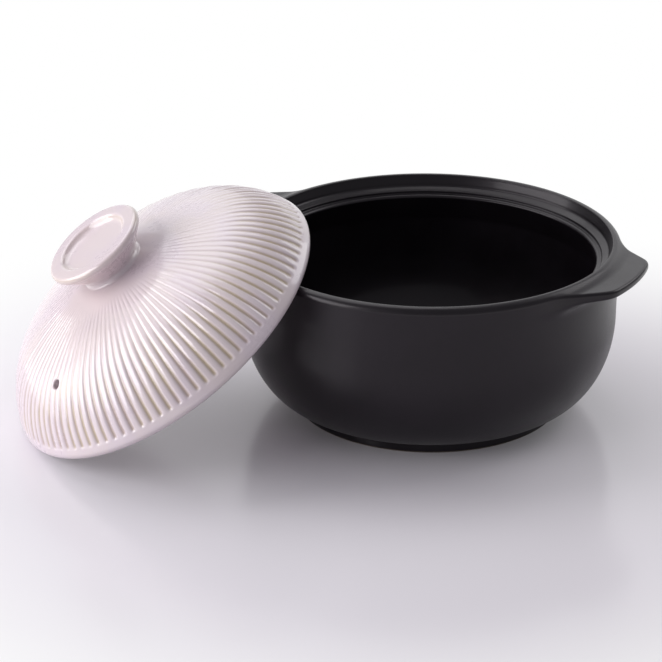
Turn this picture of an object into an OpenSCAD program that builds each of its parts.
// Ceramic casserole pot with two lug handles and a fluted domed lid.
// The pot stands on its foot. The lid is off: its edge is on the table, and it leans on the pot's rim and on one lug.
// Units are millimetres and degrees. The origin is the middle of the foot on the table, +Z is up and +X runs
// through the handles.

/* [Pot] */
// Outer radius of the pot at the rim
rim_radius = 120; // [105:1:135]
// Height of the rim above the table
pot_height = 110; // [100:1:130]
// How much the side is drawn in below the rim
rim_flare = 2; // [0.5:0.1:2.2]
// Thickness of the side wall
wall = 9; // [7:0.5:11]
// Height of the inside's bottom above the table
base_height = 13; // [11:0.5:18]
// Radius of the flat foot
foot_radius = 84; // [70:1:90]
// Chamfer at the foot's lower edge
foot_chamfer = 0.8; // [0.4:0.1:1.5]
// Height of the side's widest point, where it starts to round in towards the foot
belly_height = 63; // [50:1:75]
// Width of the rounding from the side to the underside
belly_width = 37; // [33:1:45]
// Height of the underside above the table, beside the foot
foot_height = 6.4; // [4:0.2:8]

/* [Rim and seat] */
// Width of the rim's top, from the outside to the seat's wall
rim_width = 5.8; // [5.4:0.1:7.5]
// Radius of the rim's outer shoulder
rim_round = 4.2; // [3:0.1:4.6]
// Radius of the rim's inner edge
rim_edge = 0.8; // [0.5:0.1:1.2]
// Depth of the seat's wall below the rim
seat_depth = 6; // [5:0.5:8]
// How much the seat's wall closes in from top to bottom
seat_draft = 1.8; // [1:0.1:2.5]
// Radius of the hollow corner at the foot of the seat's wall
seat_fillet = 1.6; // [1:0.1:2]
// Width of the sloping seat that carries the lid
seat_width = 4.5; // [4:0.1:6]
// Fall of the sloping seat towards the middle
seat_fall = 1.4; // [1:0.1:2.5]
// Height of the small step inside the seat
step_height = 2; // [1.5:0.1:3]
// Width of the ledge below the step
ledge_width = 3.6; // [3:0.1:5]
// Radius of the ledge's rounded lip
lip_round = 1.8; // [1:0.1:2.2]
// Height over which the lip's underside runs back to the side wall
lip_depth = 14; // [10:1:18]

/* [Handles] */
// How far each lug stands out from the rim
lug_reach = 19.6; // [16:0.2:22]
// Width of a lug where it leaves the rim
lug_width = 95; // [84:1:104]
// Angle between a lug's flanks and the line through both lugs
lug_splay = 36; // [30:1:42]
// Radius of a lug's bowed outer edge, seen from above
lug_bow = 110; // [80:5:140]
// Radius of a lug's two corners, seen from above
lug_corner = 14; // [10:1:18]
// Radius of the hollow where a flank runs into the rim
lug_root = 10; // [6:1:14]
// Thickness of a lug at its outer edge
lug_thickness = 4.8; // [4:0.2:7]
// Angle at which a lug thickens towards the pot
lug_taper = 7; // [3:0.5:10]
// Radius of a lug's rounded edges
lug_round = 1.9; // [1.2:0.1:1.9]
// Height of the rim above a lug's upper face at its outer edge
lug_drop = 1.9; // [1:0.1:4]
// Upward tilt of a lug's upper face
lug_tilt = 2; // [0:0.5:5]

/* [Lid] */
// Play between the lid's edge and the foot of the seat's wall
lid_play = 2.3; // [1.5:0.1:3.5]
// Height of the dome's top above the middle of the lid's edge
lid_rise = 53.5; // [49:0.5:60]
// Thickness of the lid
lid_wall = 7; // [6:0.25:8]
// How much thicker the lid's rounded edge is than the lid
edge_swell = 0.6; // [0.4:0.1:1.5]
// Outer radius of the dome's shoulder
shoulder_radius = 65; // [58:1:68]
// Direction in which the dome's outside faces where it meets the edge, from straight up
edge_angle = 70; // [67:0.5:73]
// Diameter of the steam hole
steam_hole = 6; // [4:0.5:8]
// Distance of the steam hole from the lid's middle
steam_radius = 82; // [70:1:88]

/* [Flutes] */
// Number of flutes round the lid
flute_count = 100; // [60:4:104]
// Depth of a flute
flute_depth = 1.1; // [0.6:0.1:1.5]
// Share of the pitch that a flute takes up
flute_share = 0.46; // [0.35:0.01:0.6]
// Width of the plain ring between the knob's stem and the flutes
plain_ring = 12; // [8:1:20]
// Height of the flutes' lower ends above the middle of the lid's edge
plain_band = 4.9; // [4:0.1:8]
// Turn along the shoulder over which a flute runs out at its lower end
flute_end = 3.5; // [2:0.5:6]

/* [Knob] */
// Outer radius of the knob
knob_radius = 32.8; // [30:0.2:38]
// Height of the knob's top above the top of the dome
knob_height = 20; // [18:0.5:26]
// Radius of the knob's rounded rim
knob_round = 2.8; // [2:0.1:3.5]
// Radius of the knob's neck
neck_radius = 19.2; // [16:0.2:20]
// Height of the neck above the top of the dome
neck_height = 2; // [1:0.2:4]
// Radius of the stem's foot on the dome
stem_radius = 21.2; // [21:0.2:24]
// Depth of the dish in the knob's top
dish_depth = 3.6; // [3:0.2:5]
// Width of the knob's rim round the dish
dish_rim = 7.8; // [6:0.2:9]

/* [Leaning lid] */
// Tilt of the leaning lid from level
lean_tilt = 36.2; // [33:0.2:39]
// Direction of the lid's middle from the pot's middle
lean_bearing = 219; // [215:0.2:223]
// Turn of the lid's low side from that direction
lean_turn = 5.2; // [2:0.1:8]
// Turn of the steam hole round the lid, from the low side
lean_spin = 30; // [0:0.5:90]
// Gap that keeps the lid clear of what it leans on
rest_gap = 0.2; // [0.1:0.05:0.4]

/* [Hidden] */
// Segments of a full turn
$fn = 120;
// Steps in a short and in a long arc of an outline
short_steps = 5;
long_steps = 12;
// Slope of the wall round the knob's dish, with the radii of its lip and of its foot
dish_slope = 50;
dish_lip = 3;
dish_fillet = 5;
// Rows of flute facets on the dome's crown and on its shoulder
crown_rows = 3;
shoulder_rows = 6;
// Length by which a cutting or joining body runs past the face it meets
run_out = 0.5;
// Turn by which the plain band overlaps the flutes' lower ends, and by which the hollow overlaps the edge
band_lap = 1;
hollow_lap = 5;
// Points of the lid's edge that are tried when it is laid against the pot, and halvings of the distance
lean_points = 360;
lean_halvings = 24;

// Direction a from straight up, in an outline
function facing(a) = [sin(a), cos(a)];
// Outline of an arc about centre c, its half-axes in s, from facing a0 to facing a1
function arc(c, s, a0, a1, steps) =
    [for (i = [0:steps]) let (u = facing(a0 + (a1 - a0) * i / steps)) c + [s[0] * u[0], s[1] * u[1]]];
function round_arc(c, r, a0, a1, steps = short_steps) = arc(c, [r, r], a0, a1, steps);
// Point p of an outline at turn t about the middle
function turned(p, t) = [p[0] * cos(t), p[0] * sin(t), p[1]];
// Distance from the place where two faces meet in an edge rounded by e, given the distances a and b from the faces
function off_edge(a, b, e) = norm([max(a + e, 0), max(b + e, 0)]) - e;

// Radii of the pot's mouth, from the rim's inner edge to the ledge's lip
seat_top_radius = rim_radius - rim_width;
seat_radius = seat_top_radius - seat_draft;
step_radius = seat_radius - seat_width;
lip_radius = step_radius - ledge_width;
// Heights of the mouth, from the foot of the seat's wall to the ledge
seat_z = pot_height - seat_depth;
step_z = seat_z - seat_fillet - seat_fall;
ledge_z = step_z - step_height;
side_radius = rim_radius - rim_flare;
// Point of the side a share t of the way up from the belly to the rim's shoulder. The flare grows with its square.
function side_point(t) = [side_radius + rim_flare * t * t,
                          belly_height + (pot_height - rim_round - belly_height) * t];

module pot_body() {
    rounding = side_radius - belly_width;
    outside = concat(
        [[0, 0], [foot_radius - foot_chamfer, 0], [foot_radius, foot_chamfer]],
        arc([rounding, belly_height], [belly_width, belly_height - foot_height],
            180 - asin((foot_radius - rounding) / belly_width), 90, long_steps),
        [for (i = [1:short_steps - 1]) side_point(i / short_steps)],
        round_arc([rim_radius - rim_round, pot_height - rim_round], rim_round, 90, 0),
        round_arc([seat_top_radius + rim_edge, pot_height - rim_edge], rim_edge, 0, -90));
    inside = concat(
        round_arc([seat_radius - seat_fillet, seat_z], seat_fillet, 90, 180),
        [[step_radius, step_z], [step_radius, ledge_z]],
        round_arc([lip_radius + lip_round, ledge_z - lip_round], lip_round, 0, -90),
        [[side_radius - wall, ledge_z - lip_round - lip_depth]],
        arc([rounding, belly_height], [belly_width - wall, belly_height - base_height], 90, 180, long_steps),
        [[0, base_height]]);
    rotate_extrude() polygon(concat(outside, inside));
}

// A lug seen from above, in half: a bowed outer edge, a rounded corner, and a flank that flows into the rim.
// The flank faces lug_splay, measured from +Y, and the lug reaches along +X.
lug_end = rim_radius + lug_reach;
along_flank = [cos(lug_splay), -sin(lug_splay)];
root_turn = asin(lug_width / 2 / rim_radius);
flank_off = rim_radius * facing(lug_splay) * [cos(root_turn), sin(root_turn)];
bow_middle = [lug_end - lug_bow, 0];
corner_off = flank_off - lug_corner;
corner_along = bow_middle * along_flank
    + sqrt(pow(lug_bow - lug_corner, 2) - pow(corner_off - bow_middle * facing(lug_splay), 2));
corner_middle = corner_off * facing(lug_splay) + corner_along * along_flank;
corner_facing = atan2(corner_middle[0] - bow_middle[0], corner_middle[1]);
root_off = flank_off + lug_root;
root_along = sqrt(pow(side_radius + lug_root, 2) - pow(root_off, 2));
root_middle = root_off * facing(lug_splay) + root_along * along_flank;
root_facing = atan2(root_middle[0], root_middle[1]);
// Points of that half, drawn in by d, and the whole outline, which ends along an arc inside the rim
function half_lug(d) = concat(
    round_arc(root_middle, lug_root + d, 180 + root_facing, 180 + lug_splay),
    round_arc(corner_middle, lug_corner - d, lug_splay, corner_facing),
    [bow_middle + (lug_bow - d) * facing((corner_facing + 90) / 2)]);
function mirrored(points) = [for (i = [len(points) - 1:-1:0]) [points[i][0], -points[i][1]]];
function lug_outline(d) = concat(half_lug(d), [bow_middle + [lug_bow - d, 0]], mirrored(half_lug(d)));
// Heights of a lug's upper and lower faces at distance x from the pot's middle
function lug_upper(x) = pot_height - lug_drop - (lug_end - x) * tan(lug_tilt);
function lug_lower(x) = lug_upper(x) - lug_thickness - (lug_end - x) * (tan(lug_taper) - tan(lug_tilt));
// The outline on a lug's rounded edge where the edge has turned by a, by the upper face or by the lower one
function lug_ring(a, upper) = [for (p = lug_outline(lug_round * (1 - sin(a)))) let (inset = lug_round * (1 - cos(a)))
    [p[0], p[1], upper ? lug_upper(p[0]) - inset : lug_lower(p[0]) + inset]];
// The lug's inner end, inside the rim
function lug_inner(upper) = [for (p = lug_outline(0)) let (q = p * (rim_radius - 0.8 * rim_width) / norm(p))
    [q[0], q[1], upper ? lug_upper(q[0]) : lug_lower(q[0])]];

// A lug is skinned over rings that run along it, from the inner end round the edge and back
module lug() {
    turns = [for (i = [0:short_steps - 1]) 90 * i / (short_steps - 1)];
    rings = concat([lug_inner(false)], [for (a = turns) lug_ring(a, false)],
                   [for (i = [1:short_steps]) lug_ring(turns[short_steps - i], true)], [lug_inner(true)]);
    n = len(rings[0]);
    count = len(rings);
    function at(k, i) = (k % count) * n + i;
    sides = [for (k = [0:count - 1], i = [0:n - 2])
        each [[at(k, i), at(k, i + 1), at(k + 1, i + 1)], [at(k, i), at(k + 1, i + 1), at(k + 1, i)]]];
    ends = [for (k = [1:count - 2])
        each [[0, at(k, 0), at(k + 1, 0)], [n - 1, at(k + 1, n - 1), at(k, n - 1)]]];
    polyhedron([for (ring = rings) each ring], concat(sides, ends));
}

module pot() {
    color("#26252a") {
        pot_body();
        for (side = [0, 180]) rotate([0, 0, side]) lug();
    }
}

// Section of the lid about the middle of its edge: a rounded edge, a shoulder and a crown that run into each other
edge_radius = (lid_wall + edge_swell) / 2;
edge_middle = [seat_radius - lid_play - edge_radius, 0];
shoulder_middle = edge_middle - (shoulder_radius - edge_radius) * facing(edge_angle);
over_shoulder = lid_rise - shoulder_radius - shoulder_middle[1];
crown_drop = (pow(shoulder_middle[0], 2) - pow(over_shoulder, 2)) / (2 * over_shoulder);
crown_radius = over_shoulder + crown_drop + shoulder_radius;
crown_middle = [0, lid_rise - crown_radius];
crown_angle = atan2(shoulder_middle[0], crown_drop);
// Point of the dome that faces a, at depth d under its outside
function dome(a, d = 0) = a < crown_angle ? crown_middle + (crown_radius - d) * facing(a)
                                          : shoulder_middle + (shoulder_radius - d) * facing(a);
function facing_at(r) = r < crown_radius * sin(crown_angle) ? asin(r / crown_radius)
                                                            : asin((r - shoulder_middle[0]) / shoulder_radius);

// Facing of each row of flute facets, from the plain ring to the plain band
flute_from = facing_at(stem_radius + plain_ring);
flute_to = acos((plain_band - shoulder_middle[1]) / shoulder_radius);
rows = concat(
    [for (i = [0:crown_rows - 1]) flute_from + (crown_angle - flute_from) * i / crown_rows],
    [for (i = [0:shoulder_rows]) crown_angle + (flute_to - flute_end - crown_angle) * i / shoulder_rows],
    [flute_to]);
last_row = len(rows) - 1;
pitch = 360 / flute_count;
flutes = [for (i = [0:flute_count - 1]) i];

// Three points of every row for each flute: its bottom and the two sides of the ridge after it
function row_points(k) = let (
        end = k == 0 || k == last_row,
        side = dome(rows[k]),
        bottom = dome(rows[k], end ? 0 : flute_depth),
        half = flute_share * pitch / 2)
    [for (i = flutes) each [turned(bottom, i * pitch), turned(side, i * pitch + half),
                            turned(side, (i + 1) * pitch - half)]];
function plain_points(p) = [for (i = flutes) turned(p, i * pitch)];

// The fluted dome as a solid cap: a plain ring under the knob, the rows, and two plain rings inside the edge
module fluted_cap() {
    row = 3 * flute_count;
    points = concat(
        plain_points(dome(facing_at(neck_radius))),
        [for (k = [0:last_row]) each row_points(k)],
        plain_points(dome(edge_angle, run_out)),
        plain_points(edge_middle - [0, edge_radius / 2]));
    sunk = len(points) - 2 * flute_count;
    closing = sunk + flute_count;
    // Corner c of flute i in row k, and the matching corner of a plain ring that starts at s
    function at(k, i, c) = flute_count + k * row + (3 * i + c) % row;
    function on(s, i) = s + i % flute_count;
    fluted = [for (k = [0:last_row - 1], i = flutes) each [
        [at(k, i, 0), at(k, i, 1), at(k + 1, i, 1)],
        [at(k, i, 0), at(k + 1, i, 1), at(k + 1, i, 0)],
        [at(k, i, 1), at(k, i, 2), at(k + 1, i, 2), at(k + 1, i, 1)],
        [at(k, i, 2), at(k, i, 3), at(k + 1, i, 2)],
        [at(k, i, 3), at(k + 1, i, 3), at(k + 1, i, 2)]]];
    upper = [for (i = flutes) each [
        [on(0, i), at(0, i, 1), at(0, i, 0)],
        [on(0, i), on(0, i + 1), at(0, i, 2), at(0, i, 1)],
        [on(0, i + 1), at(0, i, 3), at(0, i, 2)]]];
    lower = [for (i = flutes) each [
        [at(last_row, i, 0), at(last_row, i, 1), on(sunk, i)],
        [at(last_row, i, 1), at(last_row, i, 2), on(sunk, i + 1), on(sunk, i)],
        [at(last_row, i, 2), at(last_row, i, 3), on(sunk, i + 1)]]];
    tip = [for (i = flutes) [on(sunk, i), on(sunk, i + 1), on(closing, i + 1), on(closing, i)]];
    ends = [[for (i = flutes) on(0, flute_count - 1 - i)], [for (i = flutes) on(closing, i)]];
    polyhedron(points, concat(fluted, upper, lower, tip, ends));
}

// Solid that hollows the dome out
module hollow() {
    brim = dome(edge_angle + hollow_lap, lid_wall);
    rotate_extrude() polygon(concat(
        [for (a = [0:long_steps]) dome(crown_angle * a / long_steps, lid_wall)],
        round_arc(shoulder_middle, shoulder_radius - lid_wall, crown_angle + 1, edge_angle + hollow_lap, long_steps),
        [[brim[0], brim[1] - edge_radius], [0, brim[1] - edge_radius]]));
}

// The plain band and the rounded edge, which reach into the thickness of the dome
module edge() {
    rotate_extrude() polygon(concat(
        [for (i = [0:short_steps]) dome(flute_to + band_lap + (edge_angle - flute_to - band_lap) * i / short_steps)],
        round_arc(edge_middle, edge_radius, edge_angle + 15, edge_angle + 240, 2 * long_steps)));
}

module knob() {
    top = lid_rise + knob_height;
    rim_centre = knob_radius - knob_round;
    stem = dome(facing_at(stem_radius));
    dish = knob_radius - dish_rim;
    wall_height = dish_depth - (dish_lip + dish_fillet) * (1 - cos(dish_slope));
    foot_centre = dish - (dish_lip + dish_fillet) * sin(dish_slope) - wall_height / tan(dish_slope);
    rotate_extrude() polygon(concat(
        [[0, top - dish_depth]],
        round_arc([foot_centre, top - dish_depth + dish_fillet], dish_fillet, 180, 180 - dish_slope),
        round_arc([dish, top - dish_lip], dish_lip, -dish_slope, 0),
        round_arc([rim_centre, top - knob_round], knob_round, 0, 150, 2 * short_steps),
        arc([stem_radius, lid_rise + neck_height], [stem_radius - neck_radius, lid_rise + neck_height - stem[1]],
            -90, -180, short_steps),
        [[stem_radius, stem[1] - run_out], [0, lid_rise - lid_wall / 2]]));
}

// The lid about its own axis, with the steam hole on +X
module lid_upright() {
    steam = facing_at(steam_radius);
    hole = dome(steam, lid_wall / 2);
    difference() {
        union() {
            fluted_cap();
            knob();
        }
        hollow();
        translate([hole[0], 0, hole[1]]) rotate([0, steam, 0])
            cylinder(d = steam_hole, h = 2 * lid_wall, center = true);
    }
    edge();
}

// The lid slides up to the pot until its edge comes within the gap of the rim or of the lug beside it
low_side = lean_bearing + lean_turn;
lean_height = edge_middle[0] * sin(lean_tilt) + edge_radius;
function lean_place(d) = [d * cos(lean_bearing), d * sin(lean_bearing), lean_height];
function edge_point(d, t) = let (across = edge_middle[0] * cos(t) * cos(lean_tilt), along = edge_middle[0] * sin(t))
    lean_place(d) + [across * cos(low_side) - along * sin(low_side), across * sin(low_side) + along * cos(low_side),
                     -edge_middle[0] * cos(t) * sin(lean_tilt)];
function off_rim(p) = off_edge(norm([p[0], p[1]]) - rim_radius, p[2] - pot_height, rim_round);
// The tangents of a lug's outline, from the outermost point to the flank, are enough to tell how far a point is outside
lug_facings = [for (i = [0:long_steps]) lug_splay + (90 - lug_splay) * i / long_steps];
function off_tangent(p, a) = (p - (a < corner_facing ? corner_middle : bow_middle)) * facing(a)
    - (a < corner_facing ? lug_corner : lug_bow);
function off_outline(p) = max([for (a = lug_facings) off_tangent(p, a)]);
function off_lug(p) = let (q = [-p[0], -p[1], p[2]], level = (q[2] - lug_upper(q[0])) * cos(lug_tilt))
    off_edge(off_outline([q[0], abs(q[1])]), max(level, (lug_lower(q[0]) - q[2]) * cos(lug_taper)), lug_round);
function edge_gap(d) = min([for (i = [0:lean_points - 1]) let (p = edge_point(d, 360 * i / lean_points))
    min(off_rim(p), off_lug(p))]) - edge_radius;
function slide(near, far, left) = let (d = (near + far) / 2)
    left == 0 ? far : edge_gap(d) < rest_gap ? slide(d, far, left - 1) : slide(near, d, left - 1);
lean_distance = slide(rim_radius / 2, rim_radius + lug_reach + edge_middle[0] + edge_radius, lean_halvings);

module lid() {
    color("#d9cfcf")
        translate(lean_place(lean_distance)) rotate([0, lean_tilt, low_side]) rotate([0, 0, lean_spin])
            lid_upright();
}

pot();
lid();
